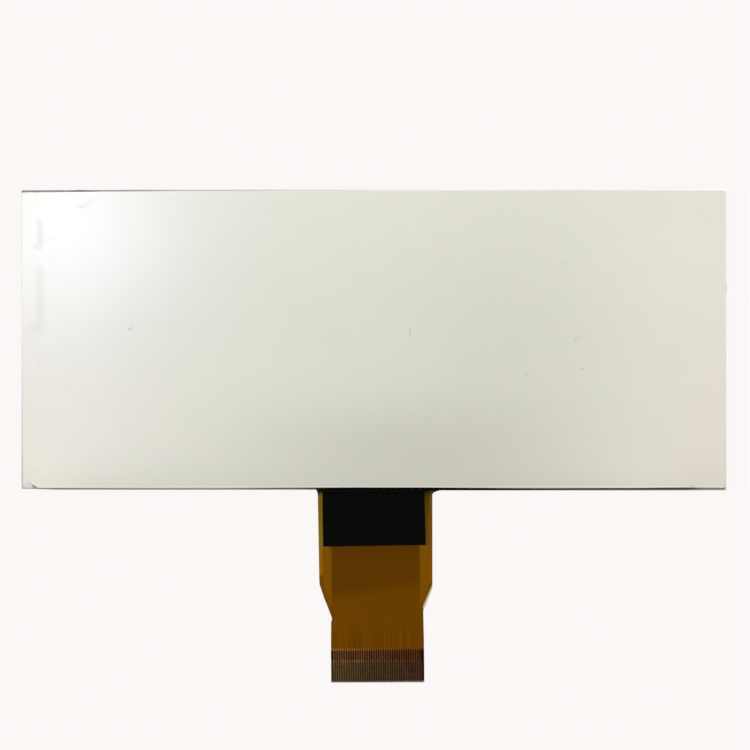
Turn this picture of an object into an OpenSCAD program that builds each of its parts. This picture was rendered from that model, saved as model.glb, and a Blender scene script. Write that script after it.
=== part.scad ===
// Segment liquid crystal display: a bare glass cell with a flexible contact tail.
// The panel lies on its front face, rear face up, as it comes to rest on a table.
// The origin is the middle of the front face. +X runs along the long edge, +Z points out of
// the rear face, and the tail leaves the long edge on the -Y side.

/* [Glass] */
// Width of both glass sheets
panel_w = 152.8; // [120:0.1:180]
// Height of the rear glass, the larger sheet
panel_h = 65.2; // [60:0.1:80]
// Thickness of each glass sheet
glass_t = 1.1; // [0.5:0.1:1.1]
// Height of the contact ledge, where the rear glass runs past the front glass
ledge_h = 4; // [3.6:0.1:6]
// Gap between the sheets, drawn wider than the few micrometres of a real cell
cell_gap = 0.05; // [0.04:0.01:0.1]
// Thickness of the clear conductive layers, drawn thicker than they are
electrode_t = 0.01; // [0.005:0.001:0.015]

/* [Seal] */
// Width of the epoxy frame between the sheets
seal_w = 1; // [0.6:0.1:1.5]
// Distance from the edge of the glass to the frame
seal_inset = 0.6; // [0.4:0.1:1]
// Distance from the edge of the front glass to the frame on the contact side, with room for the transfer dots
seal_inset_contact = 1.1; // [0.9:0.1:1.5]
// Width of the fill port in the frame
port_w = 3; // [2:0.5:8]
// Place of the fill port along the right-hand edge
port_y = 11.2; // [-15:0.1:20]
// How far the drop of resin in the port stands out of the edge
port_bulge = 0.1; // [0.05:0.05:0.4]

/* [Polarizers and films] */
// Thickness of the rear polarizer with its reflector
rear_polarizer_t = 0.22; // [0.1:0.01:0.3]
// Thickness of the front polarizer
front_polarizer_t = 0.2; // [0.1:0.01:0.3]
// Thickness of the peel-off protective films
film_t = 0.06; // [0.03:0.01:0.1]
// Bare glass rim at each side of the rear polarizer
rim_side = 0.16; // [0.15:0.01:0.5]
// Bare glass rims above and below the rear polarizer, both together
rim_ends = 0.8; // [0.6:0.05:4]
// How far the middle of the rear polarizer lies from the middle of the glass, across and along
rear_shift = [0.04, 0.08]; // [0:0.01:0.1]
// Angle by which the rear polarizer is laid on askew
rear_skew = 0.05; // [-0.08:0.01:0.08]
// Width and height of the piece cut from the lower left corner
corner_cut = [3.4, 1]; // [0.5:0.1:6]
// How far the cut slants
corner_slant = 1.7; // [0:0.1:3]
// Radius of the upper right corner
corner_r = 0.4; // [0.1:0.1:3]
// Bare glass rim around the front polarizer
rim_front = 0.5; // [0.3:0.1:1]

/* [Segments] */
// Height of the four large digits
digit_big = 27; // [20:0.5:28]
// Height of the two middle digits
digit_mid = 15; // [8:0.5:16]
// Height of the nine small digits
digit_small = 8; // [5:0.5:8.5]
// Number of bars in the bar graph
bars = 22; // [6:1:24]
// Width of a clear track inside the cell
track_w = 0.15; // [0.08:0.01:0.18]

/* [Flex tail] */
// Number of conductors
contacts = 39; // [11:2:39]
// Distance between conductors
pitch = 0.5; // [0.5:0.1:0.8]
// Width of a conductor
trace_w = 0.3; // [0.2:0.01:0.35]
// Length of the tail from the edge of the glass to its tip
tail_len = 41.8; // [36:0.01:60]
// Sideways place of the tail's root
tail_x = 0.35; // [-20:0.01:20]
// Angle by which the tail is bonded askew
tail_skew = 0.45; // [-1:0.05:1]
// How far the bonded end reaches under the ledge
bond_len = 2.6; // [1.5:0.1:2.8]
// Thickness of the base film
base_t = 0.05; // [0.03:0.01:0.1]
// Thickness of the copper
copper_t = 0.03; // [0.02:0.01:0.04]
// Thickness of the coverlay above the copper
coverlay_t = 0.05; // [0.03:0.01:0.1]
// Thickness of the bond film between the copper and the glass
bond_t = 0.03; // [0.02:0.01:0.05]
// Length of the bare, plated contacts at the tip
contact_len = 4.4; // [3:0.05:6]
// Thickness of the plating on the contacts
plating_t = 0.01; // [0.005:0.005:0.02]
// Length of the stiffener under the tip
stiffener_len = 7.15; // [6:0.05:12]
// Thickness of the stiffener
stiffener_t = 0.2; // [0.1:0.01:0.25]
// Thickness of the black tape
tape_t = 0.08; // [0.05:0.01:0.15]
// Height of the resin bead at the root of the tail, above the copper
bead_h = 0.5; // [0.2:0.1:0.9]

/* [Hidden] */
$fn = 48;

// Heights of the stack, from the table up
z_front_polarizer = film_t;
z_front_glass = z_front_polarizer + front_polarizer_t;
z_gap = z_front_glass + glass_t;
z_rear_glass = z_gap + cell_gap;
z_rear_polarizer = z_rear_glass + glass_t;
z_rear_film = z_rear_polarizer + rear_polarizer_t;
z_segments = z_rear_glass - electrode_t;

// Edges in plan
edge_x = panel_w / 2;
edge_y = panel_h / 2;
front_y = -edge_y + ledge_h;             // lower edge of the front glass
seal_out = [edge_x - seal_inset, front_y + seal_inset_contact, edge_y - seal_inset];
cell_in = [seal_out[0] - seal_w, seal_out[1] + seal_w, seal_out[2] - seal_w];

// The contacts lie a little to the right of the middle of the tail's root
tail_mid = 0.24;

// A block from its two corners
module block(a, b) {
    translate(a) cube(b - a);
}

// ---------------------------------------------------------------- films and glass

// Plan of the rear polarizer and of the film on it: one corner cut off, one corner rounded
module rear_plan() {
    w = panel_w - 2 * rim_side;
    h = panel_h - rim_ends;
    translate(rear_shift) rotate(rear_skew) union() {
        polygon([[-w / 2, -h / 2 + corner_cut[1]], [-w / 2 + max(0.01, corner_cut[0] - corner_slant), -h / 2 + corner_cut[1]],
                 [-w / 2 + corner_cut[0], -h / 2], [w / 2, -h / 2], [w / 2, h / 2 - corner_r], [w / 2 - corner_r, h / 2], [-w / 2, h / 2]]);
        intersection() {
            translate([w / 2 - corner_r, h / 2 - corner_r]) circle(r = corner_r);
            translate([w / 2 - corner_r, h / 2 - corner_r]) square(corner_r);
        }
    }
}

module rear_protective_film() {
    color("#e4e6da") translate([0, 0, z_rear_film]) linear_extrude(film_t) rear_plan();
}

module rear_polarizer() {
    color("#dfe0d3") translate([0, 0, z_rear_polarizer]) linear_extrude(rear_polarizer_t) rear_plan();
}

module rear_glass() {
    color("#9fb0a6") block([-edge_x, -edge_y, z_rear_glass], [edge_x, edge_y, z_rear_polarizer]);
}

module front_glass() {
    color("#9fb0a6") block([-edge_x, front_y, z_front_glass], [edge_x, edge_y, z_gap]);
}

module front_sheet(z, t) {
    block([-edge_x + rim_front, front_y + rim_front, z], [edge_x - rim_front, edge_y - rim_front, z + t]);
}

module front_polarizer() {
    color("#8c927f") front_sheet(z_front_polarizer, front_polarizer_t);
}

module front_protective_film() {
    color("#c9cdbf") front_sheet(0, film_t);
}

// ---------------------------------------------------------------- cell

// Clear tracks on the rear glass. Those of the segments cross under the seal and fan out nested,
// the outermost turning first. The two at each side run along the ledge to the transfer dots.
dot_x = [0.71 * edge_x, 0.24 * edge_x];  // outer and inner transfer dot of each side
dot_y = front_y + seal_inset_contact / 2;
dot_r = 0.3;
half = (contacts - 1) / 2;               // conductors on each side of the middle one
fan = half - 2;                          // of those, the ones that drive segments
fan_y = cell_in[1] + 0.5;
fan_step = 0.3;
fan_top = fan_y + fan_step * fan + 0.4;
pad_end = -edge_y + 0.25;
pad_x = tail_x + tail_mid;               // middle of the row of pads

// Every clear track, from height z up by t
module tracks(z, t) {
    translate([0, 0, z]) {
        for (side = [-1, 1]) {
            for (k = [1:fan]) {
                pad = pad_x + side * k * pitch;
                target = side * (cell_in[0] - 5) * k / fan;
                turn = fan_y + fan_step * (fan - k);
                flat_track([[pad, pad_end], [pad, turn], [target, turn], [target, fan_top]], t);
            }
            // along the ledge to the inner and the outer transfer dot
            for (k = [0, 1]) {
                pad = pad_x + side * (half - k) * pitch;
                run = front_y - 1 + 0.4 * k;
                flat_track([[pad, pad_end], [pad, run], [side * dot_x[k], run], [side * dot_x[k], dot_y + dot_r]], t);
            }
        }
        flat_track([[pad_x, pad_end], [pad_x, fan_top]], t);
    }
}

// A track of right-angled runs as one flat strip: the outline runs up one side and back down the other
function side_of(path, i, s) =
    let (a = path[max(i - 1, 0)], b = path[i], c = path[min(i + 1, len(path) - 1)],
         din = i > 0 ? (b - a) / norm(b - a) : (c - b) / norm(c - b),
         dout = i < len(path) - 1 ? (c - b) / norm(c - b) : din,
         nin = [-din[1], din[0]], nout = [-dout[1], dout[0]])
    b + s * track_w / 2 * (norm(nin - nout) < 0.01 ? nin : nin + nout);

module flat_track(path, t) {
    n = len(path);
    linear_extrude(t) polygon(concat([for (i = [0:n - 1]) side_of(path, i, 1)],
                                     [for (i = [n - 1:-1:0]) side_of(path, i, -1)]));
}

module lead_tracks() {
    color("#b9c4b4") tracks(z_segments, electrode_t);
}

// A segment with pointed ends, lying along X
module bar_plan(l, t) {
    polygon([[-l / 2, 0], [-l / 2 + t / 2, t / 2], [l / 2 - t / 2, t / 2],
             [l / 2, 0], [l / 2 - t / 2, -t / 2], [-l / 2 + t / 2, -t / 2]]);
}

// Seven segments of a digit of height h, centred on its own middle
module digit_plan(h) {
    t = 0.12 * h;                        // stroke
    w = 0.5 * h - t;                     // distance between the upright strokes
    v = (h - t) / 2;                     // distance between the level strokes
    l_h = w - 0.03 * h;
    l_v = v - 0.03 * h;
    for (y = [-v, 0, v]) translate([0, y]) bar_plan(l_h, t);
    for (x = [-w / 2, w / 2], y = [-v / 2, v / 2]) translate([x, y]) rotate(90) bar_plan(l_v, t);
}

// All segments, laid out as the viewer of the front face reads them
module segments_plan() {
    // bar graph along the top
    for (i = [0:bars - 1]) translate([-66 + 132 * (i + 0.5) / bars, 26]) square([132 / bars - 0.8, 3.2], center = true);
    // four large digits with a colon
    for (x = [-51, -34, -11, 6]) translate([x, 6.5]) digit_plan(digit_big);
    for (y = [2, 11]) translate([-22.5, y]) square(3, center = true);
    // two middle digits
    for (x = [27, 38]) translate([x, 0.5]) digit_plan(digit_mid);
    // battery outline with its bars
    translate([32, 16.5]) {
        difference() {
            square([16, 6.4], center = true);
            square([14.8, 5.2], center = true);
        }
        translate([8.5, 0]) square([1.4, 3], center = true);
        for (x = [-4.6, 0, 4.6]) translate([x, 0]) square([3.6, 4], center = true);
    }
    // three pointers at the side
    for (y = [-1, 8, 17]) translate([60, y]) polygon([[-4, 0], [4, 3], [4, -3]]);
    // three groups of three small digits with points
    for (g = [-46, 0, 46]) {
        for (x = [-7, 0, 7]) translate([g + x, -14]) digit_plan(digit_small);
        translate([g + 11.2, -17.6]) square(0.9, center = true);
    }
}

module segments(z, t) {
    translate([0, 1, z]) mirror([1, 0, 0]) linear_extrude(t) segments_plan();
}

module segment_electrodes() {
    color("#a9b3a2") segments(z_segments, electrode_t);
}

// Four common areas on the front glass, each with a tab that crosses the seal to its transfer dot
module commons(z, t) {
    w = (cell_in[0] - 3) / 2;
    for (side = [-1, 1], k = [0, 1]) {
        near = side * (k == 0 ? w + 0.1 : 0.1);
        far = side * (k == 0 ? 2 * w + 0.1 : w);
        x = side * dot_x[k];
        translate([0, 0, z]) linear_extrude(t) union() {
            translate([min(near, far), fan_top + 0.3]) square([abs(far - near), cell_in[2] - 1.2 - fan_top]);
            translate([x - 0.4, dot_y - 0.3]) square([0.8, fan_top + 1 - dot_y]);
        }
    }
}

module common_electrodes() {
    color("#a9b3a2") commons(z_gap, electrode_t);
}

module transfer_dots() {
    color("#8f8f8a") for (side = [-1, 1], k = [0, 1])
        translate([side * dot_x[k], dot_y, z_gap + electrode_t])
            cylinder(r = dot_r, h = cell_gap - 2 * electrode_t);
}

module perimeter_seal() {
    color("#d8d3bd") difference() {
        block([-seal_out[0], seal_out[1], z_gap], [seal_out[0], seal_out[2], z_rear_glass]);
        block([-cell_in[0], cell_in[1], z_gap - 1], [cell_in[0], cell_in[2], z_rear_glass + 1]);
        block([cell_in[0] - 1, port_y - port_w / 2, z_gap - 1], [edge_x, port_y + port_w / 2, z_rear_glass + 1]);
        tracks(z_segments, 1);
        commons(z_gap - 1, 1 + electrode_t);
    }
}

// Resin in the fill port: a slab in the gap, and the drop that stands out of the edge of the glass
// and runs a little past the port
module end_seal() {
    reach = port_w / 2 + 0.7;
    color("#5d5a4c") union() {
        block([cell_in[0] + 0.5, port_y - port_w / 2, z_gap], [edge_x, port_y + port_w / 2, z_rear_glass]);
        translate([edge_x, port_y, z_gap - 0.35]) linear_extrude(0.75)
            polygon([for (i = [-8:8]) [port_bulge * (1 - i * i / 64), reach * i / 8]]);
    }
}

module liquid_crystal() {
    color("#b7bba6") difference() {
        union() {
            block([-cell_in[0], cell_in[1], z_gap], [cell_in[0], cell_in[2], z_rear_glass]);
            block([cell_in[0] - 1, port_y - port_w / 2, z_gap],
                  [cell_in[0] + 0.5, port_y + port_w / 2, z_rear_glass]);
        }
        tracks(z_segments, 1);
        segments(z_segments, 1);
        commons(z_gap - 1, 1 + electrode_t);
    }
}

// ---------------------------------------------------------------- flex tail
// The tail has a frame of its own: x across it, y along it with the edge of the glass at 0
// and the tip on the negative side.

tail_z = z_rear_glass - bond_t - copper_t - base_t;  // underside of the base film at the bond
tail_flat = 0.6;                                      // length that stays level outside the glass
tail_drop = tail_z - stiffener_t;                     // from there the tail sags down to the table
tail_end = tail_len + 0.1;                            // the layers run this far and are cut to the outline
tip_slant = 0.0045;                                   // rise of the tip's cut, whose left corner is the shorter
tail_w = (contacts + 1) * pitch / 2;                  // half the width that the connector takes
far = 30;                                             // wider than the tail on each side
cover_from = 0.3;                                     // the coverlay starts this far outside the glass

// A strip clamped at its root sags like this under its own weight
function sag(v) = v <= tail_flat ? 0 :
    let (t = (v - tail_flat) / (tail_end - tail_flat)) tail_drop * t * t * (6 - 4 * t + t * t) / 3;

sag_steps = 14;
stations = concat([-bond_len - 1, 0], [for (i = [0:sag_steps]) tail_flat + (tail_end - tail_flat) * i / sag_steps]);
sag_line = [for (s = stations) [s, tail_z - sag(s)]];

module at_tail() {
    translate([tail_x, -edge_y, 0]) rotate([0, 0, tail_skew]) children();
}

// A layer of the tail that follows its sag: from height a to b over the underside, from length v0
// to v1, and from x0 to x1 across
module ribbon(a, b, v0, v1, x0, x1) {
    cuts = concat([v0], [for (s = stations) if (s > v0 + 0.001 && s < v1 - 0.001) s], [v1]);
    n = len(cuts);
    translate([x0, 0, 0]) rotate([90, 0, 90]) linear_extrude(x1 - x0)
        polygon(concat([for (i = [0:n - 1]) [-cuts[i], lookup(cuts[i], sag_line) + a]],
                       [for (i = [n - 1:-1:0]) [-cuts[i], lookup(cuts[i], sag_line) + b]]));
}

// Outline of the tail: wide at the glass, two shoulders, then the width of the connector.
// The left edge steps out a little where the shoulder ends.
module tail_plan() {
    end_left = tail_len - tip_slant * tail_w;
    end_right = tail_len + tip_slant * tail_w;
    polygon([[-tail_w - 2.42, bond_len], [-tail_w - 2.42, -2.5], [-tail_w - 2.27, -18.6], [-tail_w - 2.24, -20],
             [-tail_w - 2.17, -20.5], [-tail_w - 1.24, -23.4], [-tail_w - 0.59, -25], [-tail_w, -26.6],
             [-tail_w + 0.3, -27.4], [-tail_w + 0.41, -27.9], [-tail_w + 0.35, -28.25], [-tail_w + 0.22, -28.6],
             [-tail_w + 0.13, -34.2], [-tail_w + 0.13, -end_left], [tail_w + 0.37, -end_right], [tail_w + 0.35, -32.5],
             [tail_w + 0.29, -28.2], [tail_w + 0.27, -26.5], [tail_w + 0.33, -26.1], [tail_w + 0.45, -25.7],
             [tail_w + 0.68, -25.3], [tail_w + 0.9, -24.85], [tail_w + 2.07, -21.85], [tail_w + 2.25, -21.4],
             [tail_w + 2.3, -20.9], [tail_w + 2.31, -18.7], [tail_w + 2.44, -2], [tail_w + 2.44, bond_len]]);
}

module tail_solid(z0, z1) {
    translate([0, 0, z0]) linear_extrude(z1 - z0) tail_plan();
}

// A full-width layer of the tail, cut to its outline
module layer(a, b, v0, v1) {
    intersection() {
        ribbon(a, b, v0, v1, -far, far);
        tail_solid(-1, 5);
    }
}

// Every conductor, w wide
module traces(a, b, v0, v1, w) {
    for (i = [0:contacts - 1]) {
        x = tail_mid + (i - (contacts - 1) / 2) * pitch;
        ribbon(a, b, v0, v1, x - w / 2, x + w / 2);
    }
}

module flex_base_film() {
    color("#a8690f") at_tail() layer(0, base_t, -bond_len, tail_end);
}

module copper_traces() {
    color("#b06a3a") at_tail() intersection() {
        traces(base_t, base_t + copper_t, -bond_len + 0.1, tail_end, trace_w);
        tail_solid(-1, 5);
    }
}

module coverlay() {
    color("#a8690f") at_tail() difference() {
        layer(base_t, base_t + copper_t + coverlay_t, cover_from, tail_len - contact_len);
        traces(base_t - 0.02, base_t + copper_t, cover_from - 1, tail_len, trace_w);
    }
}

// Plating over the top and the sides of each bare contact
module contact_plating() {
    color("#7c6a4c") at_tail() difference() {
        intersection() {
            traces(base_t, base_t + copper_t + plating_t, tail_len - contact_len, tail_end, trace_w + 2 * plating_t);
            tail_solid(-1, 5);
        }
        traces(base_t - 0.02, base_t + copper_t, tail_len - contact_len - 0.5, tail_end, trace_w);
    }
}

module stiffener() {
    color("#5a3a12") at_tail() layer(-stiffener_t, 0, tail_len - stiffener_len, tail_end);
}

module black_tape() {
    top = base_t + copper_t + coverlay_t;
    color("#0b0d09") at_tail() intersection() {
        ribbon(top, top + tape_t, cover_from, 13, -far, far);
        translate([0, 0, -1]) linear_extrude(6)
            polygon([[-tail_w - 1.42, 0], [-tail_w - 1.36, -12.18], [tail_w + 0.92, -11.97], [tail_w + 0.76, -4], [tail_w + 0.7, 0]]);
    }
}

// Conductive adhesive between the tail and the ledge. It fills the space between the conductors.
module bond_film() {
    color("#8d8a78") difference() {
        at_tail() difference() {
            intersection() {
                block([-far, 0, tail_z + base_t], [far, bond_len, z_rear_glass]);
                tail_solid(-1, 5);
            }
            traces(base_t - 0.02, base_t + copper_t, -bond_len + 0.1, 3, trace_w);
        }
        tracks(z_segments, 1);
    }
}

// Resin bead over the conductors at the edge of the glass, with a fillet at each side of the tail
module root_adhesive() {
    half_w = tail_w + 2.44;
    color("#15140f") difference() {
        at_tail() difference() {
            translate([0, 0, tail_z - 0.15]) linear_extrude(0.15 + base_t + copper_t + bead_h)
                polygon([[-half_w - 0.24, 0.4], [-half_w - 0.24, 0], [-half_w - 0.03, -0.5], [-half_w + 0.03, -1.1],
                         [-half_w + 0.03, -cover_from], [half_w - 0.01, -cover_from], [half_w - 0.01, -1.2],
                         [half_w + 0.06, -0.9], [half_w + 0.3, -0.6], [half_w + 0.86, -0.37], [half_w + 1.5, -0.17],
                         [half_w + 2.3, -0.04], [half_w + 2.3, 0.4]]);
            tail_solid(-1, tail_z + base_t);
            intersection() {
                tail_solid(-1, tail_z + 5);
                block([-far, -5, -1], [far, -cover_from, 5]);
            }
            traces(base_t - 0.02, base_t + copper_t, -1, 2, trace_w);
            block([-far, 0, -1], [far, 2, z_rear_glass]);
        }
        block([-edge_x, -edge_y, 0], [edge_x, edge_y, z_rear_polarizer + 1]);
    }
}

// Black silicone on the underside of the ledge, over the tracks and the bonded end of the tail
module ledge_sealant() {
    color("#121310") difference() {
        block([-edge_x + 2.4, -edge_y, z_rear_glass - 0.7], [edge_x - 0.4, front_y, z_rear_glass]);
        at_tail() tail_solid(tail_z, 5);
        tracks(z_segments, 1);
    }
}

rear_protective_film();
rear_polarizer();
rear_glass();
front_glass();
front_polarizer();
front_protective_film();
perimeter_seal();
end_seal();
liquid_crystal();
segment_electrodes();
lead_tracks();
common_electrodes();
transfer_dots();
ledge_sealant();
bond_film();
root_adhesive();
flex_base_film();
copper_traces();
coverlay();
contact_plating();
stiffener();
black_tape();
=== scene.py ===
"""Finish, light and camera for a bare segment LCD panel with its flex tail.

The panel lies on its front face, rear face up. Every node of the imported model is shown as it
is and gets a procedural material. Lengths in the materials are millimetres in the part's frame.
"""
import math

import bpy
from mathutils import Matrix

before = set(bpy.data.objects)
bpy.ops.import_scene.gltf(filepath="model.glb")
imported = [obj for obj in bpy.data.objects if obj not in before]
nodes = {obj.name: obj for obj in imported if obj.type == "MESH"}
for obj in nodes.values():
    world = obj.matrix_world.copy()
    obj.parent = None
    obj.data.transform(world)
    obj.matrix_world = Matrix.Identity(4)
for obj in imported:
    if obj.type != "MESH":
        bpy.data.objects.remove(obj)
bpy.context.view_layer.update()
scene = bpy.context.scene


def lin(r, g, b):
    """An 8-bit sRGB colour as linear values."""
    return tuple(c / 255 / 12.92 if c <= 10 else ((c / 255 + 0.055) / 1.055) ** 2.4 for c in (r, g, b))


# ------------------------------------------------------------------ material builder


class Mat:
    """A node material. Each method adds nodes and returns the socket that carries the result."""

    def __init__(self, name):
        self.m = bpy.data.materials.new(name)
        self.m.use_nodes = True
        self.t = self.m.node_tree
        self.t.nodes.clear()
        out = self.t.nodes.new("ShaderNodeOutputMaterial")
        self.b = self.t.nodes.new("ShaderNodeBsdfPrincipled")
        self.t.links.new(self.b.outputs[0], out.inputs["Surface"])
        # object coordinates in millimetres
        tc = self.t.nodes.new("ShaderNodeTexCoord")
        self.p = self.vec("SCALE", tc.outputs["Object"], scale=1000)
        s = self.t.nodes.new("ShaderNodeSeparateXYZ")
        self.t.links.new(self.p, s.inputs[0])
        self.x, self.y, self.z = s.outputs

    def put(self, socket, value):
        if isinstance(value, bpy.types.NodeSocket):
            self.t.links.new(value, socket)
        elif value is not None:
            if hasattr(socket.default_value, "__len__") and not hasattr(value, "__len__"):
                value = (value,) * len(socket.default_value)
            if hasattr(value, "__len__") and len(socket.default_value) == 4 and len(value) == 3:
                value = (*value, 1)
            socket.default_value = value

    def set(self, **values):
        for key, value in values.items():
            self.put(self.b.inputs[key.replace("_", " ")], value)
        return self

    def f(self, op, a, b=None, c=None, clamp=False):
        n = self.t.nodes.new("ShaderNodeMath")
        n.operation, n.use_clamp = op, clamp
        for i, v in enumerate((a, b, c)):
            if v is not None:
                self.put(n.inputs[i], v)
        return n.outputs[0]

    def add(self, a, b):
        return self.f("ADD", a, b)

    def sub(self, a, b):
        return self.f("SUBTRACT", a, b)

    def mul(self, a, b, *more):
        r = self.f("MULTIPLY", a, b)
        for m in more:
            r = self.f("MULTIPLY", r, m)
        return r

    def most(self, *v):
        r = v[0]
        for w in v[1:]:
            r = self.f("MAXIMUM", r, w)
        return r

    def vec(self, op, a, b=None, scale=None):
        n = self.t.nodes.new("ShaderNodeVectorMath")
        n.operation = op
        self.put(n.inputs[0], a)
        if b is not None:
            self.put(n.inputs[1], b)
        if scale is not None:
            self.put(n.inputs["Scale"], scale)
        return n.outputs[0]

    def xyz(self, x, y, z=0.0):
        n = self.t.nodes.new("ShaderNodeCombineXYZ")
        for i, v in enumerate((x, y, z)):
            self.put(n.inputs[i], v)
        return n.outputs[0]

    def ramp(self, v, a, b, lo=0.0, hi=1.0):
        """lo below a, hi above b, and a smooth step between."""
        n = self.t.nodes.new("ShaderNodeMapRange")
        n.interpolation_type = "SMOOTHSTEP"
        for i, w in enumerate((v, a, b, lo, hi)):
            self.put(n.inputs[i], w)
        return n.outputs[0]

    def band(self, v, a, b, soft):
        """1 between a and b, with soft edges."""
        return self.mul(self.ramp(v, a - soft, a + soft), self.ramp(v, b - soft, b + soft, 1.0, 0.0))

    def blob(self, cx, cy, rx, ry, turn=0.0, at=None, power=1.0):
        """A soft spot: 1 at its middle, falling off as a bell curve."""
        x, y = at or (self.x, self.y)
        dx, dy = self.sub(x, cx), self.sub(y, cy)
        if turn:
            c, s = math.cos(math.radians(turn)), math.sin(math.radians(turn))
            dx, dy = self.add(self.mul(dx, c), self.mul(dy, s)), self.sub(self.mul(dy, c), self.mul(dx, s))
        dx, dy = self.mul(dx, 1 / rx), self.mul(dy, 1 / ry)
        d = self.add(self.mul(dx, dx), self.mul(dy, dy))
        if power != 1.0:
            d = self.f("POWER", d, power)
        return self.f("EXPONENT", self.mul(d, -1))

    def line(self, x0, y0, x1, y1, width, at=None, soft=1.0):
        """A soft stroke from one point to another: 1 on it, falling off as a bell curve, or flatter with a larger soft."""
        x, y = at or (self.x, self.y)
        run = math.hypot(x1 - x0, y1 - y0)
        ux, uy = (x1 - x0) / run, (y1 - y0) / run
        dx, dy = self.sub(x, x0), self.sub(y, y0)
        t = self.f("MINIMUM", self.f("MAXIMUM", self.add(self.mul(dx, ux), self.mul(dy, uy)), 0.0), run)
        ex, ey = self.sub(dx, self.mul(t, ux)), self.sub(dy, self.mul(t, uy))
        d = self.add(self.mul(ex, ex), self.mul(ey, ey))
        return self.f("EXPONENT", self.mul(self.f("POWER", self.mul(d, 1 / width / width), soft), -1))

    def noise(self, size, detail=2.0, rough=0.5, at=None, seed=0.0, stretch=None):
        """Cloudy values round 0.5 with features about size millimetres across."""
        p = at if at is not None else self.p
        if stretch:
            p = self.vec("MULTIPLY", p, stretch)
        if seed:
            p = self.vec("ADD", p, (seed * 37.0, seed * 91.0, seed * 13.0))
        n = self.t.nodes.new("ShaderNodeTexNoise")
        n.inputs["Scale"].default_value = 1 / size
        n.inputs["Detail"].default_value = detail
        n.inputs["Roughness"].default_value = rough
        self.t.links.new(p, n.inputs["Vector"])
        return n.outputs[0]

    def mix(self, fac, a, b):
        n = self.t.nodes.new("ShaderNodeMix")
        n.data_type, n.clamp_factor = "RGBA", True
        self.put(n.inputs[0], fac)
        self.put(n.inputs[6], a)
        self.put(n.inputs[7], b)
        return n.outputs[2]

    def tint(self, colour, amount, gain):
        """Multiplies a colour by 1 + amount * gain, channel by channel."""
        g = self.vec("SCALE", gain, scale=amount)
        return self.vec("MULTIPLY", colour, self.vec("ADD", g, (1, 1, 1)))

    def bump(self, height, distance, strength=1.0, base=None):
        """A bump of the given height field, with distance in millimetres."""
        n = self.t.nodes.new("ShaderNodeBump")
        n.inputs["Strength"].default_value = strength
        n.inputs["Distance"].default_value = distance / 1000
        self.put(n.inputs["Height"], height)
        if base is not None:
            self.t.links.new(base, n.inputs["Normal"])
        self.t.links.new(n.outputs[0], self.b.inputs["Normal"])
        return n.outputs[0]

    def blend(self, t, a, b):
        """Number a where t is 0 and b where it is 1."""
        return self.add(a, self.mul(t, self.sub(b, a)))

    def sealant_line(self):
        """Tone of the dark line along the lower edge: faint at the left, dense beside the tail."""
        left = self.add(self.ramp(self.x, -38, -20, 0.28, 0.09), self.ramp(self.x, -72, -76.3, 0.0, 0.22))
        left = self.mul(left, self.add(self.mul(self.blob(-66.5, -32.2, 4.5, 2.0), -0.45), 1.0))
        right = self.add(self.ramp(self.x, 22, 40, 0.0, 0.12), self.ramp(self.x, 38, 54, 0.0, -0.10))
        right = self.add(right, self.add(self.ramp(self.x, 61, 67, 0.0, 0.03), self.ramp(self.x, 68, 72, 0.0, 0.19)))
        right = self.add(right, self.ramp(self.x, 75.95, 76.25, 0.0, 0.3))
        return self.blend(self.ramp(self.x, -18, -8), left, right)

    def on(self, *names):
        for name in names:
            o = nodes[name]
            o.data.materials.clear()
            o.data.materials.append(self.m)
        return self


# ------------------------------------------------------------------ panel: rear film, as the photo shows it

m = Mat("rear_film")
c = m.mix(m.noise(34, 1.5, seed=1), (0.845, 0.864, 0.768), (0.860, 0.879, 0.781))
# broad tone across the face, greener and warmer in places; the dulling towards the tail and along the lower edge is
# painted shade
for x, y, rx, ry, gain in (
    (-20, 3, 40, 25, (-0.10, -0.06, -0.10)),    # greener left of the middle
    (31, 0, 27, 34, (-0.12, -0.12, -0.12)),
    (4, -23, 38, 11, (-0.18, -0.19, -0.19)),    # duller towards the tail
    (-72, -30, 8, 6, (0.05, 0.05, 0.05)),
    (58, -31, 9, 6, (0.04, 0.04, 0.04)),
    (-69, -19, 14, 25, (0.06, 0.03, 0.04)),
    (79, -24, 21, 33, (0.01, -0.05, -0.05)),    # warmer at the right
    (66, 20, 8, 12, (0.02, 0.0, 0.01)),
    (-44, -9, 13, 12, (0.025, 0.0, -0.01)),
    (39, 22, 42, 21, (0.03, 0.03, 0.03)),
    (-61, 17, 29, 34, (-0.165, -0.16, -0.09)),
    (-2, -42, 99, 11, (-0.40, -0.40, -0.44)),
):
    c = m.tint(c, m.blob(x, y, rx, ry), gain)
# cloudy unevenness, blotches and fine grain
c = m.tint(c, m.sub(m.noise(9, 3, 0.6, seed=2), 0.5), (0.035, 0.02, 0.035))
c = m.tint(c, m.sub(m.noise(3, 1, 0.5, seed=24), 0.5), (0.05, -0.02, 0.03))
c = m.tint(c, m.sub(m.noise(0.9, 2, 0.6, seed=3), 0.5), (0.015, 0.015, 0.015))
# soft grey streaks at the left end
marks_and_painted_shade = m.most(
    m.mul(m.line(-72.5, 25.6, -72.4, 23.6, 0.72), 0.16),
    m.mul(m.line(-72.4, 23.4, -72.35, 20.8, 0.72), 0.185),
    m.mul(m.line(-73.4, 20.6, -72.4, 20.0, 0.62), 0.15),
    m.mul(m.line(-71.0, 21.7, -68.8, 22.1, 0.35), 0.06),
    m.mul(m.line(-72.4, 15.3, -72.4, 4.5, 0.98, soft=2.0), 0.10),
    m.mul(m.blob(-72.9, 2.8, 1.8, 1.3), 0.09),
    m.mul(m.line(-64.0, 28.9, -62.9, 29.0, 0.42), 0.17),
    m.mul(m.line(-62.9, 29.1, -61.0, 30.1, 0.45), 0.09),
    m.mul(m.line(-72.2, -3.5, -72.4, -10.5, 0.8), 0.02),
    m.mul(m.blob(-73.0, -15.5, 2.0, 2.0), 0.015),
)
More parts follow.
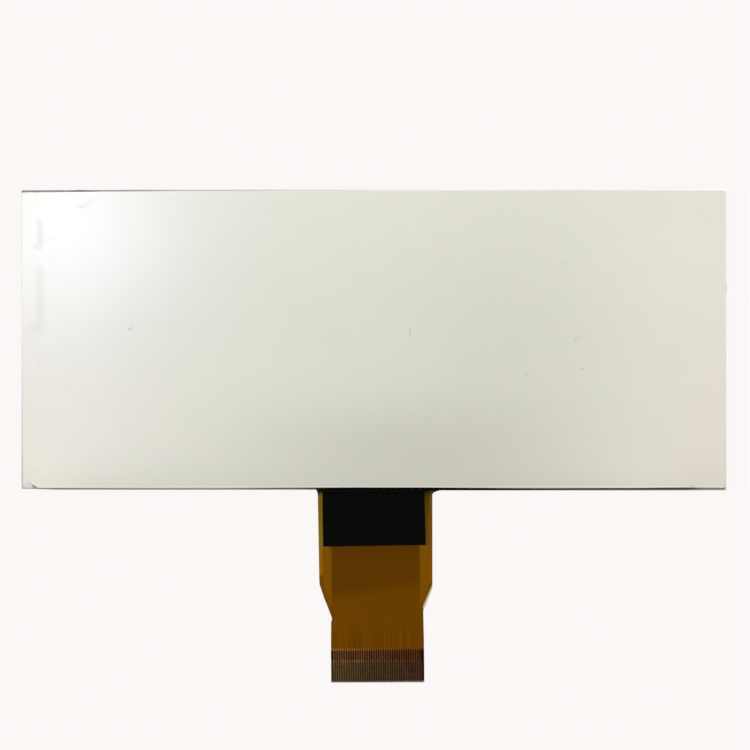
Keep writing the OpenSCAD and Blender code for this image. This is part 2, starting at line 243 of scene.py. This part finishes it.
# specks, and painted shade at two corners of the film
marks_and_painted_shade = m.most(
    marks_and_painted_shade,
    m.mul(m.blob(-72.1, 23.9, 0.22, 0.22), 0.26),
    m.mul(m.line(-53.1, 2.45, -52.7, 2.3, 0.26), 0.25),
    m.mul(m.line(-52.6, 3.0, -52.1, 3.0, 0.25), 0.10),
    m.mul(m.line(7.98, 2.4, 7.98, 0.9, 0.16), 0.20),
    m.mul(m.line(43.65, -0.35, 43.9, 0.45, 0.24), 0.12),
    m.mul(m.line(44.0, 0.45, 45.0, 0.3, 0.26), 0.05),
    m.mul(m.blob(45.35, -6.28, 0.3, 0.2), 0.34),
    m.mul(m.line(33.0, -7.1, 33.3, -7.6, 0.28), 0.08),
    m.mul(m.line(-66.2, -10.5, -65.9, -10.85, 0.2), 0.11),
    m.mul(m.line(40.2, 16.2, 41.6, 16.8, 0.35), 0.06),
    m.mul(m.blob(-73.35, -28.5, 0.4, 0.3), 0.06),
    # painted shadow under the creased cut corner
    m.mul(m.line(-74.7, -30.9, -74.2, -31.25, 0.22), 0.15),
    m.mul(m.line(68.85, -31.5, 69.5, -31.85, 0.17), 0.24),
    m.mul(m.line(-73.8, -31.5, -72.9, -32.05, 0.16), 0.3),
    # painted shade at the film's top-left corner
    m.mul(m.blob(-76.35, 32.0, 1.1, 0.16), 0.5),
    m.mul(m.blob(76.05, -31.95, 0.2, 0.25), 0.35),
    m.mul(m.ramp(m.x, -75.8, -75.95), m.ramp(m.y, -22, -29), 0.10),
)
c = m.tint(c, marks_and_painted_shade, (-1, -1, -1))
# a faint level step in tone at the left
c = m.tint(c, m.mul(m.ramp(m.y, 4.45, 4.6, 1.0, 0.0), m.ramp(m.y, 2.0, 4.4), m.band(m.x, -70, -47, 1.5)), (-0.015, -0.01, -0.015))
# the film's edges catch a little more light, and so does the fold at the cut corner
low = m.sub(m.y, m.add(m.mul(m.x, 0.00087), -32.12))
c = m.tint(c, m.mul(m.band(low, 0.2, 0.42, 0.06), m.ramp(m.x, -62, -30, 0.45, 1.0), m.ramp(m.x, 66, 70, 1.0, 0.7)), (0.145, 0.145, 0.15))
c = m.tint(c, m.mul(m.ramp(m.x, 75.86, 75.98), m.ramp(m.y, -24, -18)), (0.04, 0.04, 0.05))
c = m.tint(c, m.line(-74.2, -30.75, -72.75, -31.75, 0.16), (0.12, 0.12, 0.12))
c = m.tint(c, m.mul(m.ramp(m.y, 32.03, 32.1), m.most(m.band(m.x, -50, -14, 8), m.mul(m.band(m.x, -53, -36, 4), 1.7))), (0.12, 0.12, 0.12))
c = m.tint(c, m.mul(m.band(m.y, 31.87, 32.1, 0.03), m.band(m.x, -69, -56, 3)), (0.12, 0.12, 0.12))
# its very edge lies in the shade of the line below it, and of the dark rim at the upper left
foot = m.add(m.add(m.mul(m.ramp(m.x, -34, 0), m.ramp(m.x, 6, 32, 0.125, 0.0)), m.add(m.mul(m.blob(67, -32, 10, 40), 0.1), m.ramp(m.x, 59, 67, 0.0, 0.045))),
             m.add(m.mul(m.ramp(m.x, -72, -69), m.ramp(m.x, -34, -20, 1.0, 0.0), -0.04), -32.1))
below = m.sub(foot, m.y)
line = m.sealant_line()
c = m.mix(m.ramp(below, -0.012, 0.012), c, m.xyz(line, m.mul(line, 0.975), m.mul(line, 0.92)))
above = m.sub(m.y, m.add(m.add(m.ramp(m.x, -74, -46, 32.06, 32.29), m.sub(m.mul(m.blob(-58.6, 32.2, 1.9, 5), 0.05), m.mul(m.blob(-73.1, 32.2, 0.65, 5), 0.06))), m.ramp(m.x, -40, 5, 0.0, 0.12)))
c = m.mix(m.ramp(above, -0.015, 0.015), c, (0.15, 0.148, 0.146))
m.set(Base_Color=c, Roughness=0.185, IOR=1.49)
m.on("rear_protective_film")

m = Mat("rear_polarizer")
c = m.mix(m.noise(3, 2, seed=4), lin(206, 206, 192), lin(226, 226, 214))
m.set(Base_Color=c, Roughness=0.4).on("rear_polarizer")

# ------------------------------------------------------------------ glass

m = Mat("rear_glass")
# ground edges: clear glass seen through a frosted, faintly green skin with fine scoring
score = m.noise(0.5, 3, 0.6, seed=31, stretch=(1, 1, 6))
edge = m.mix(score, lin(166, 186, 174), lin(214, 226, 216))
# the rim that the polarizer leaves bare is hazed over; its tone runs dark at the left of the upper edge and pale at the
# right of it
tone = m.add(m.ramp(m.x, -62, -36, 0.19, 0.76), m.ramp(m.x, -36, 12, 0.0, 0.24))
tone = m.add(tone, m.mul(m.most(m.blob(-66.7, 32.3, 0.6, 2.0), m.mul(m.noise(2.5, 2, seed=34), m.ramp(m.x, -60, -40, 0.4, 0.0))), 0.2))
tone = m.mul(tone, m.add(m.mul(m.ramp(m.y, 32.33, 32.45), m.ramp(m.x, -74, -68, 0.8, 0.0)), 1.0))
# painted highlight: the outermost strip of the upper rim is near white at the left
tone = m.blend(m.mul(m.ramp(m.y, 32.48, 32.53), m.ramp(m.x, -60, -50, 1.0, 0.0)), tone, 0.97)
tone = m.mul(tone, m.add(m.mul(m.ramp(m.y, 32.48, 32.53), m.band(m.x, -46, 4, 8), -0.2), 1.0))
tone = m.mul(tone, m.add(m.mul(m.band(m.y, 32.28, 32.5, 0.03), m.band(m.x, -67, -60, 5), -0.4), 1.0))
spots = m.most(m.mul(m.blob(-76.3, 32.2, 0.5, 0.17), 0.42), m.mul(m.blob(-73.1, 32.3, 0.65, 0.14), 0.75), m.mul(m.blob(-63.7, 32.5, 1.0, 0.25), 0.6))
tone = m.mul(tone, m.sub(1.0, spots))
upper = m.mix(m.ramp(m.x, -60, 0), m.xyz(tone, m.mul(tone, 0.985), m.mul(tone, 0.97)),
              m.xyz(tone, m.mul(tone, 0.98), m.mul(tone, 0.93)))
# along the lower edge the black sealant shows through
outer = m.mul(m.add(m.ramp(m.x, -68, -75, 0.32, 0.88), m.ramp(m.x, -27, -20, 0.0, 0.05)), m.ramp(m.x, -12.7, -12.25, 1.0, 0.0))
outer_r = m.add(m.add(m.ramp(m.x, 22, 50, 0.0, 0.10), m.ramp(m.x, 50, 66, 0.0, 0.06)), m.add(m.ramp(m.x, 67, 72, 0.0, 0.2), m.ramp(m.x, 75.95, 76.25, 0.0, 0.25)))
last = m.add(m.ramp(m.x, 20, 56, 0.0, 0.32), m.ramp(m.x, 64, 71, 0.0, 0.45))
far = m.ramp(m.x, -12.5, -12)
tone = m.blend(m.ramp(m.y, -32.26, -32.38), m.sealant_line(), m.blend(far, outer, outer_r))
# painted highlight: the outermost strip of the lower rim is near white left of the tail, while at the right the dark
# runs out to the edge
lip = m.sub(m.blend(far, m.ramp(m.x, -74, -67, -32.4, -32.5), -32.53), m.y)
tone = m.blend(m.ramp(lip, -0.03, 0.03), tone, m.blend(far, 0.98, last))
lower = m.xyz(tone, m.mul(tone, 0.975), m.mul(tone, 0.92))
# left and right rims
side_tone = m.blend(m.ramp(m.x, -1, 1), m.ramp(m.y, 8, -28, 0.95, 0.52), m.ramp(m.y, 30, -28, 0.88, 0.60))
side = m.xyz(side_tone, m.mul(side_tone, 0.99), m.mul(side_tone, 0.96))
# the corner where the polarizer is cut off, with the dark line of the cut. The bare glass there is painted lighter
# towards the film's step, against the shade the step casts
tone = m.add(m.ramp(m.y, -31.9, -30.95, 0.78, 0.91), m.mul(m.sub(m.noise(0.8, 2, seed=32), 0.5), 0.06))
corner = m.xyz(tone, m.mul(tone, 0.985), m.mul(tone, 0.955))
# the upper end of the cut line is painted shadow under the creased corner of the film; its lower end is the black
# sealant
cut = m.most(m.mul(m.line(-74.66, -30.9, -73.95, -31.5, 0.17), 0.33), m.mul(m.line(-73.95, -31.5, -73.8, -31.8, 0.2), 0.68),
             m.mul(m.line(-73.8, -31.85, -73.1, -32.2, 0.2), 0.72), m.mul(m.blob(-76.05, -32.0, 0.2, 0.25), 0.35))
corner = m.tint(corner, cut, (-1, -1, -1))
rim = m.mix(m.ramp(m.y, 31.9, 32.05), side, upper)
rim = m.mix(m.ramp(m.y, -32.02, -32.1), m.mix(m.mul(m.band(m.x, -76.15, -72.5, 0.1), m.ramp(m.y, -30.3, -30.5)), rim, corner), lower)
# painted glow: a faint emission brightens the pale stretches of the rim
painted_glow = m.most(m.mul(m.ramp(m.y, 31.9, 32.0), m.add(m.ramp(m.x, -45, 5), m.ramp(m.x, 45, 72, 0.0, 1.3))),
               m.mul(m.ramp(lip, -0.03, 0.03), m.ramp(m.x, -12, -20)), m.mul(m.ramp(m.y, 32.48, 32.53), m.ramp(m.x, -60, -50, 1.0, 0.0)),
               m.mul(m.ramp(m.f("ABSOLUTE", m.x), 76.2, 76.3), m.ramp(m.y, -30, -26)))
painted_glow = m.mul(painted_glow, m.ramp(m.z, 2.5, 2.506, 0.0, 0.1))
# the haze thins out beside the tail, where the black shows deep and glossy
gloss = m.mul(m.ramp(m.y, -31.9, -32.0), m.ramp(m.x, -20, -13), m.ramp(m.x, 40, 60, 1.0, 0.0))
m.set(Base_Color=m.mix(m.ramp(m.z, 2.5, 2.506), edge, rim), IOR=1.52,
      Roughness=m.blend(m.ramp(m.z, 2.5, 2.506), 0.22, m.blend(gloss, 0.4, 0.1)),
      Transmission_Weight=m.ramp(m.z, 2.5, 2.506, 0.5, 0.0), Emission_Color=m.xyz(painted_glow, painted_glow, painted_glow), Emission_Strength=1.0)
m.on("rear_glass")

m = Mat("front_glass")
score = m.noise(0.5, 3, 0.6, seed=33, stretch=(1, 1, 6))
edge = m.mix(score, lin(166, 186, 174), lin(212, 225, 215))
m.set(Base_Color=edge, Roughness=0.22, IOR=1.52, Transmission_Weight=0.5).on("front_glass")

m = Mat("front_polarizer")
c = m.mix(m.noise(8, 2, seed=7), lin(128, 134, 116), lin(136, 141, 124))
m.set(Base_Color=c, Roughness=0.25).on("front_polarizer")

m = Mat("front_film")
c = m.mix(m.noise(8, 2, seed=8), lin(140, 146, 128), lin(148, 153, 136))
m.set(Base_Color=c, Roughness=0.2).on("front_protective_film")

# ------------------------------------------------------------------ inside the cell

m = Mat("epoxy")
c = m.mix(m.noise(1.5, 3, seed=9), lin(196, 190, 168), lin(220, 214, 192))
m.set(Base_Color=c, Roughness=0.5).on("perimeter_seal")

m = Mat("port_resin")
c = m.mix(m.noise(0.6, 2, seed=10), lin(150, 142, 124), lin(176, 168, 150))
m.set(Base_Color=c, Roughness=0.18).on("end_seal")

m = Mat("liquid_crystal")
c = m.mix(m.noise(12, 2, seed=11), lin(190, 194, 172), lin(200, 204, 184))
m.set(Base_Color=c, Roughness=0.2).on("liquid_crystal")

m = Mat("clear_conductor")
c = m.mix(m.noise(5, 2, seed=12), lin(176, 182, 158), lin(184, 190, 168))
m.set(Base_Color=c, Roughness=0.25).on("segment_electrodes", "lead_tracks", "common_electrodes")

m = Mat("silver_paste")
c = m.mix(m.noise(0.15, 2, seed=13), lin(120, 120, 116), lin(170, 170, 166))
m.set(Base_Color=c, Metallic=0.8, Roughness=0.5).on("transfer_dots")

# ------------------------------------------------------------------ ledge

m = Mat("black_silicone")
n = m.noise(0.8, 3, seed=14)
c = m.mix(n, lin(8, 8, 7), lin(20, 20, 18))
# where it thins out under the rim of the glass it reads lighter: most at the far ends, least beside the tail
left = m.ramp(m.x, -34, -12, 1.0, 0.0)
right = m.add(m.mul(m.ramp(m.x, 17, 36), 0.28), m.mul(m.ramp(m.x, 66.5, 71), 0.5))
thin = m.mul(m.ramp(m.z, 1.38, 1.4), m.most(left, right))
c = m.mix(thin, c, lin(168, 168, 156))
m.set(Base_Color=c, Roughness=0.55, Specular_IOR_Level=0.35)
m.bump(n, 0.05)
m.on("ledge_sealant")

m = Mat("bond_film")
c = m.mix(m.noise(0.4, 2, seed=15), lin(120, 112, 90), lin(150, 142, 118))
m.set(Base_Color=c, Roughness=0.5).on("bond_film")

m = Mat("root_resin")
n = m.noise(0.7, 2, seed=16)
c = m.mix(n, lin(5, 5, 4), lin(14, 13, 10))
c = m.mix(m.ramp(m.x, 11.9, 12.6), c, lin(54, 50, 34))
m.set(Base_Color=c, Roughness=0.4, Specular_IOR_Level=0.08)
m.bump(n, 0.04)
m.on("root_adhesive")

# ------------------------------------------------------------------ flex tail


class TailMat(Mat):
    """Adds u across the tail and v along it from the edge of the glass, both in millimetres."""

    SKEW = math.radians(0.45)

    def __init__(self, name):
        super().__init__(name)
        c, s = math.cos(self.SKEW), math.sin(self.SKEW)
        dx, dy = self.sub(self.x, 0.35), self.add(self.y, 32.6)
        self.u = self.add(self.mul(dx, c), self.mul(dy, s))
        self.v = self.sub(self.mul(dx, s), self.mul(dy, c))
        self.uv = self.xyz(self.u, self.v)
        # place across the row of conductors: whole numbers on their middles
        self.k = self.mul(self.sub(self.u, 0.24), 2.0)

    def stripes(self, width, soft):
        """1 on each conductor of the given width in millimetres."""
        d = self.f("ABSOLUTE", self.sub(self.f("FRACT", self.add(self.k, 0.5)), 0.5))
        return self.ramp(d, width - soft, width + soft, 1.0, 0.0)

    def over_copper(self, soft=0.15):
        return self.band(self.u, -9.62, 9.62, soft)

    def per_stripe(self, seed):
        """A value from 0 to 1 that is constant along each conductor."""
        n = self.t.nodes.new("ShaderNodeTexWhiteNoise")
        n.noise_dimensions = "2D"
        self.t.links.new(self.xyz(self.f("ROUND", self.k), seed), n.inputs["Vector"])
        return n.outputs["Value"]


m = TailMat("coverlay")
copper = m.most(m.over_copper(0.42), m.mul(m.ramp(m.v, 24, 26), m.ramp(m.u, 8, 9)))
uv = (m.u, m.v)
# amber over bare film: yellower down the left edge, with painted shade in darker olive beside the tape at the right and
# along the root
bare = m.mix(m.noise(5, 2, seed=17), lin(123, 78, 2), lin(127, 81, 3))
bare = m.mix(m.mul(m.ramp(m.u, -11.75, -11.35, 1.0, 0.0), m.ramp(m.v, 18, 18.8, 1.0, 0.3)), bare, lin(140, 101, 14))
bare = m.mix(m.mul(m.ramp(m.u, -11, -10, 1.0, 0.0), m.ramp(m.v, 12.2, 12.6, 1.0, 0.0)), bare,
             m.mix(m.ramp(m.v, 1, 11), lin(116, 95, 16), lin(128, 104, 20)))
# painted shade: darker olive beside the tape's right end and down the right strip towards the glass
shade = m.mul(m.ramp(m.v, 11.8, 12.3, 1.0, 0.0), m.ramp(m.u, 10.9, 12.0, 0.45, 0.14))
bare = m.mix(m.mul(m.ramp(m.u, 10, 10.6), shade), bare, lin(22, 50, 2))
bare = m.mix(m.mul(m.ramp(m.u, 10, 10.6), m.ramp(m.v, 1.6, 8.5, 0.72, 0.0), m.ramp(m.u, 11.2, 12.2, 1.0, 0.45)), bare, lin(64, 54, 4))
# painted shade along the root of both strips, next to the glass
bare = m.mix(m.mul(m.ramp(m.v, 0.35, m.ramp(m.u, -1, 1, 1.1, 1.9), 0.8, 0.0), m.ramp(m.u, 11.8, 12.3, 1.0, 0.4), m.ramp(m.u, -1, 1, 0.48, 1.0)),
             bare, lin(40, 38, 20))
bare = m.mix(m.mul(m.ramp(m.u, 11.75, 12.3), m.ramp(m.v, 0.5, 7, 0.6, 0.0)), bare, lin(112, 102, 58))
# amber over copper, lighter towards the contacts
over = m.mix(m.ramp(m.v, 12, 15.5), lin(91, 53, 0), lin(95, 57, 0))
over = m.mix(m.ramp(m.add(m.v, m.mul(m.u, 0.13)), 19.8, 23.6), over, lin(107, 65, 0))
over = m.tint(over, m.sub(m.noise(7, 2, seed=18), 0.5), (0.06, 0.05, 0.0))
over = m.tint(over, m.mul(m.band(m.v, 24.5, 30.5, 1.5), m.ramp(m.u, -9, -1, 0.8, 0.0)), (0.10, 0.07, 0.0))
over = m.tint(over, m.ramp(m.v, 29, 33), (-0.02, -0.02, 0.0))
over = m.tint(over, m.mul(m.ramp(m.v, 27, 33), m.ramp(m.u, -2, 10)), (-0.05, -0.05, 0.0))
c = m.mix(copper, bare, over)
# hairlines along the conductors
hair = m.noise(1, 2, 0.7, at=m.xyz(m.mul(m.u, 4.3), m.mul(m.v, 0.05)), seed=25)
c = m.tint(c, m.mul(m.sub(hair, 0.5), m.add(m.ramp(m.v, 12, 26, 0.5, 1.0), m.ramp(m.v, 27.3, 33.3, 0.0, 8.0))), (0.16, 0.16, 0.1))
# painted shade along the shoulders and in the creases above them
c = m.tint(c, m.most(m.line(-12.2, 20.6, -9.8, 27.4, 0.8, at=uv), m.line(12.1, 21.2, 10.5, 24.8, 0.7, at=uv)), (-0.28, -0.26, 0.0))
c = m.tint(c, m.most(m.mul(m.band(m.u, -12.5, -11.3, 0.15), m.band(m.v, 18.45, 20.9, 0.25)), m.line(12.3, 20.4, 11.7, 21.2, 0.3, at=uv)), (-0.25, -0.28, 0.0))
# a pale border along the right shoulder, where only one film reaches
rim = m.sub(m.u, m.most(m.sub(21.25, m.mul(m.v, 0.437)), 10.22))
rim = m.mul(m.ramp(rim, -0.14, 0.14), m.band(m.v, 20.5, 25.95, 0.4))
c = m.mix(rim, c, m.mix(m.noise(0.5, 2, seed=28), lin(196, 182, 150), lin(206, 193, 164)))
# over the stiffener: reddish brown, with the copper showing between
left = m.ramp(m.u, -10, 10, 1.0, 0.0)
some = m.per_stripe(3)
stripe = m.stripes(0.22, 0.16)
gap = m.mix(left, lin(36, 8, 0), lin(38, 11, 0))
ridge = m.mix(left, lin(87, 54, 29), lin(111, 77, 44))
ridge = m.tint(ridge, m.sub(some, 0.5), (0.42, 0.42, 0.42))
red = m.mix(stripe, gap, ridge)
red = m.tint(red, m.sub(m.noise(0.7, 3, 0.7, seed=26), 0.5), (1.0, 0.9, 0.6))
red = m.tint(red, m.sub(m.noise(0.3, 2, 0.7, seed=29), 0.5), (1.3, 1.3, 1.3))
red = m.tint(red, m.most(m.band(m.u, -6.8, -3, 0.6), m.ramp(m.u, 4, 9, 0.0, 1.6)), (0.12, 0.08, 0.0))
red = m.tint(red, m.ramp(m.u, -8.6, -7.4, 1.0, 0.0), (-0.12, -0.12, -0.12))
deep = m.ramp(m.v, 34.45, 34.7)
c = m.mix(deep, c, red)
side = m.most(m.ramp(m.u, -9.62, -9.48, 1.0, 0.0), m.ramp(m.u, 9.65, 9.8))
c = m.mix(m.mul(deep, side), c, lin(24, 8, 2))
# at the stiffener's edge: darker between the conductors, with painted highlights on their tips
at = m.band(m.v, 34.42, 34.87, 0.1)
c = m.tint(c, m.mul(at, m.stripes(0.24, 0.14)), (1.0, 1.0, 1.0))
c = m.tint(c, at, (-0.5, -0.55, -0.5))
tip_glints = m.mul(at, m.stripes(0.21, 0.12), m.ramp(m.per_stripe(5), 0.0, 1.0, 0.5, 0.85))
c = m.mix(m.mul(tip_glints, m.add(m.ramp(m.u, -10, 10, 0.72, 0.14), m.ramp(m.u, -8.8, -7.4, 0.5, 0.0))), c, lin(214, 144, 84))
# at the end of the coverlay: darker between the conductors, with painted highlights on their tips
at = m.band(m.v, 36.86, 37.4, 0.1)
c = m.tint(c, m.mul(at, m.stripes(0.24, 0.14)), (1.0, 1.0, 1.0))
c = m.tint(c, at, (-0.5, -0.45, -0.4))
tip_glints = m.mul(at, m.stripes(0.24, 0.14), m.ramp(m.per_stripe(7), 0.0, 0.9, 0.4, 1.0))
c = m.mix(m.mul(tip_glints, m.ramp(m.u, -10, 10, 0.6, 0.08)), c, lin(164, 122, 84))
m.set(Base_Color=c, Roughness=0.16, Specular_IOR_Level=0.12)
m.on("coverlay")

m = TailMat("base_film")
c = m.mix(m.noise(4, 2, seed=19), lin(112, 74, 4), lin(128, 86, 8))
gap = m.mix(m.ramp(m.u, -10, 10), lin(52, 38, 20), lin(40, 24, 14))
gap = m.tint(gap, m.sub(m.noise(0.9, 2, seed=27), 0.5), (0.5, 0.5, 0.5))
c = m.mix(m.ramp(m.v, 34.5, 34.8), c, gap)
side = m.most(m.ramp(m.u, -9.75, -9.6, 1.0, 0.0), m.ramp(m.u, 9.65, 9.8))
c = m.mix(m.mul(m.ramp(m.v, 34.5, 34.8), side), c, m.mix(m.ramp(m.u, -1, 1), lin(64, 50, 34), lin(30, 14, 12)))
c = m.mix(m.ramp(m.y, -74.08, -74.15), c, lin(104, 90, 68))
c = m.mix(m.mul(m.band(m.y, -74.25, -74.05, 0.03), m.ramp(m.u, -4, 10)), c, lin(190, 174, 158))
m.set(Base_Color=c, Roughness=0.12, Specular_IOR_Level=0.3).on("flex_base_film")

m = Mat("copper")
c = m.mix(m.noise(1.2, 2, seed=20), lin(176, 112, 74), lin(196, 128, 88))
m.set(Base_Color=c, Metallic=1.0, Roughness=0.35).on("copper_traces")

m = TailMat("plating")
c = m.mix(m.ramp(m.u, -9, 0), lin(196, 156, 104), lin(168, 130, 86))
c = m.mix(m.ramp(m.u, 2, 9), c, lin(158, 112, 80))
c = m.tint(c, m.sub(m.noise(0.6, 3, 0.65, seed=21), 0.5), (1.2, 1.1, 1.1))
c = m.tint(c, m.sub(m.noise(0.3, 2, 0.7, seed=30), 0.5), (1.2, 1.2, 1.2))
c = m.tint(c, m.mul(m.ramp(m.v, 38.6, 39.6, 1.0, 0.0), m.ramp(m.u, -9, -6)), (-0.03, -0.05, -0.15))
c = m.tint(c, m.mul(m.ramp(m.v, 39.2, 40.2), m.ramp(m.u, 4, 7)), (0.16, 0.16, 0.3))
c = m.tint(c, m.band(m.u, -5.5, 1.5, 1.5), (-0.03, 0.05, 0.0))
c = m.tint(c, m.sub(m.per_stripe(9), 0.5), (0.15, 0.15, 0.15))
c = m.tint(c, m.mul(m.ramp(m.v, 37.4, 39, 1.0, 0.0), m.per_stripe(11)), (0.35, 0.28, 0.0))
c = m.mix(m.ramp(m.y, -74.08, -74.15), c, m.mix(m.ramp(m.u, -8, 8), (0.85, 0.72, 0.52), (0.9, 0.8, 0.66)))
m.set(Base_Color=c, Metallic=1.0, Roughness=0.25).on("contact_plating")

m = Mat("stiffener")
c = m.mix(m.noise(2, 2, seed=22), lin(70, 46, 16), lin(86, 58, 22))
m.set(Base_Color=c, Roughness=0.3, Specular_IOR_Level=0.3).on("stiffener")

m = TailMat("tape")
n = m.noise(0.35, 3, seed=23)
c = m.mix(n, lin(4.5, 6.5, 3.5), lin(7, 9.5, 6))
m.set(Base_Color=c, Roughness=0.6, Specular_IOR_Level=0.03)
m.bump(n, 0.01)
m.on("black_tape")

# ------------------------------------------------------------------ ground edges of the glass

for name, width in (("front_glass", 0.08), ("root_adhesive", 0.06)):
    mod = nodes[name].modifiers.new("ground_edge", "BEVEL")
    mod.width = width / 1000
    mod.segments = 2
    mod.limit_method = "ANGLE"
    mod.angle_limit = math.radians(50)

# ------------------------------------------------------------------ floor, light and camera

PALE = lin(252, 248, 247)

bpy.ops.mesh.primitive_plane_add(size=24, location=(0, 0, -0.00005))
floor = bpy.context.object
floor.name = "floor"
fm = bpy.data.materials.new("floor")
fm.use_nodes = True
ft = fm.node_tree
ft.nodes.clear()
out = ft.nodes.new("ShaderNodeOutputMaterial")
glow = ft.nodes.new("ShaderNodeEmission")
glow.inputs["Color"].default_value = (*PALE, 1)
matte = ft.nodes.new("ShaderNodeBsdfDiffuse")
matte.inputs["Color"].default_value = (*PALE, 1)
both = ft.nodes.new("ShaderNodeMixShader")
both.inputs[0].default_value = 0.03
ft.links.new(glow.outputs[0], both.inputs[1])
ft.links.new(matte.outputs[0], both.inputs[2])
ft.links.new(both.outputs[0], out.inputs["Surface"])
floor.data.materials.append(fm)

# soft light all round, brightest halfway up and dark straight above
world = bpy.data.worlds.new("studio")
scene.world = world
world.use_nodes = True
wt = world.node_tree
wt.nodes.clear()
wo = wt.nodes.new("ShaderNodeOutputWorld")
bg = wt.nodes.new("ShaderNodeBackground")
bg.inputs["Color"].default_value = (*PALE, 1)
wc = wt.nodes.new("ShaderNodeTexCoord")
ws = wt.nodes.new("ShaderNodeSeparateXYZ")
wt.links.new(wc.outputs["Generated"], ws.inputs[0])
curve = wt.nodes.new("ShaderNodeFloatCurve")
pts = curve.mapping.curves[0].points
for at, val in ((0.0, 0.5), (0.08, 0.5), (0.17, 0.24), (0.44, 0.26), (0.56, 0.98), (0.72, 0.98), (0.88, 0.02), (1.0, 0.02)):
    if at == 0.0:
        pts[0].location = (at, val)
    elif at == 1.0:
        pts[-1].location = (at, val)
    else:
        pts.new(at, val)
curve.mapping.update()
wt.links.new(ws.outputs[2], curve.inputs["Value"])
wm = wt.nodes.new("ShaderNodeMath")
wm.operation = "MULTIPLY"
wm.inputs[1].default_value = 2.0
wt.links.new(curve.outputs[0], wm.inputs[0])
wt.links.new(wm.outputs[0], bg.inputs["Strength"])
wt.links.new(bg.outputs[0], wo.inputs["Surface"])

# the window of light that glares off the film at the upper left
light = bpy.data.lights.new("window", "AREA")
light.shape = "DISK"
light.size = 0.04
light.energy = 0.48
light.color = (0.99, 1.0, 1.06)
lamp = bpy.data.objects.new("window", light)
lamp.location = (-0.1532, 0.0556, 1.0)
scene.collection.objects.link(lamp)

# straight above, leaning a touch over a point right of the middle
TOP = 0.00251
DISTANCE = 1.0
LEAN = math.radians(1.2)
AIM = (0.00037, -0.0076)
cam = bpy.data.cameras.new("camera")
cam.sensor_width = 36
cam.lens = 36 * DISTANCE / 0.16262
cam.clip_start, cam.clip_end = 0.01, 20
camera = bpy.data.objects.new("camera", cam)
camera.location = (AIM[0] + DISTANCE * math.sin(LEAN), AIM[1], TOP + DISTANCE * math.cos(LEAN))
camera.rotation_euler = (0, LEAN, 0)
scene.collection.objects.link(camera)
scene.camera = camera

scene.view_settings.view_transform = "Standard"
scene.view_settings.look = "None"
scene.view_settings.exposure = 0
scene.view_settings.gamma = 1
